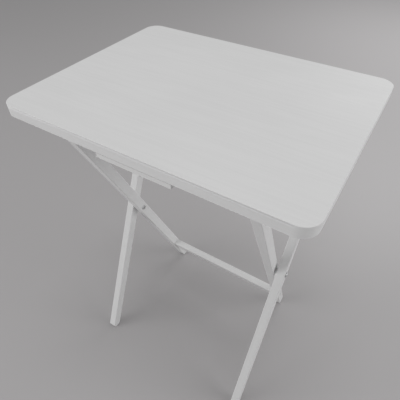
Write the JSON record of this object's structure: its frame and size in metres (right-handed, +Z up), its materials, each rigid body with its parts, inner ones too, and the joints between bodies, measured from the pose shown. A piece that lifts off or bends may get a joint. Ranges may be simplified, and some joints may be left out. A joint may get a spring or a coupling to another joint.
{
  "type": "folding table",
  "caption": "Small folding table: a rectangular wooden top with rounded corners on two crossed leg frames that close as the top tilts up.",
  "frame": {"origin": "on the floor under the middle of the top", "axes": "+X along the top's long side, +Y from the side that is lifted to the hinged side, +Z up"},
  "size_m": [0.48, 0.374, 0.66],
  "materials": {
    "painted_wood": "white satin paint over wood, with faint grain",
    "zinc_steel": "zinc-plated steel, satin",
    "nylon": "off-white matte nylon"
  },
  "bodies": {
    "outer_frame": {"outer_leg_left": "painted_wood", "outer_leg_right": "painted_wood", "hinge_rod": "zinc_steel", "hinge_cap_left": "zinc_steel", "hinge_cap_right": "zinc_steel", "hinge_sleeve_left": "nylon", "hinge_sleeve_right": "nylon", "pivot_bolt_left": "zinc_steel", "pivot_bolt_right": "zinc_steel", "pivot_nut_left": "zinc_steel", "pivot_nut_right": "zinc_steel", "pivot_spacer_left": "nylon", "pivot_spacer_right": "nylon", "outer_glide_left": "nylon", "outer_glide_right": "nylon"},
    "inner_frame": {"inner_leg_left": "painted_wood", "inner_leg_right": "painted_wood", "lower_stretcher": "painted_wood", "crossbar": "painted_wood", "stretcher_screw_left": "zinc_steel", "stretcher_screw_right": "zinc_steel", "crossbar_screw_left": "zinc_steel", "crossbar_screw_right": "zinc_steel", "inner_glide_left": "nylon", "inner_glide_right": "nylon"},
    "tabletop": {"tabletop_board": "painted_wood", "cleat_left": "painted_wood", "cleat_right": "painted_wood", "front_grip": "painted_wood", "cleat_screw_left_1": "zinc_steel", "cleat_screw_left_2": "zinc_steel", "cleat_screw_left_3": "zinc_steel", "cleat_screw_right_1": "zinc_steel", "cleat_screw_right_2": "zinc_steel", "cleat_screw_right_3": "zinc_steel", "grip_screw_left": "zinc_steel", "grip_screw_right": "zinc_steel"}
  },
  "joints": [
    {"name": "top_tilt", "type": "hinge", "parent": "outer_frame", "child": "tabletop", "pos_m": [0, 0.11306, 0.627], "axis": [-1, 0, 0], "range_deg": [0, 112]},
    {"name": "leg_fold", "type": "hinge", "parent": "outer_frame", "child": "inner_frame", "pos_m": [0, -0.012, 0.338], "axis": [-1, 0, 0], "range_deg": [0, 48]}
  ],
  "couplings": [
    {"joint": "leg_fold", "follows": "top_tilt", "ratio": 0.4285}
  ]
}
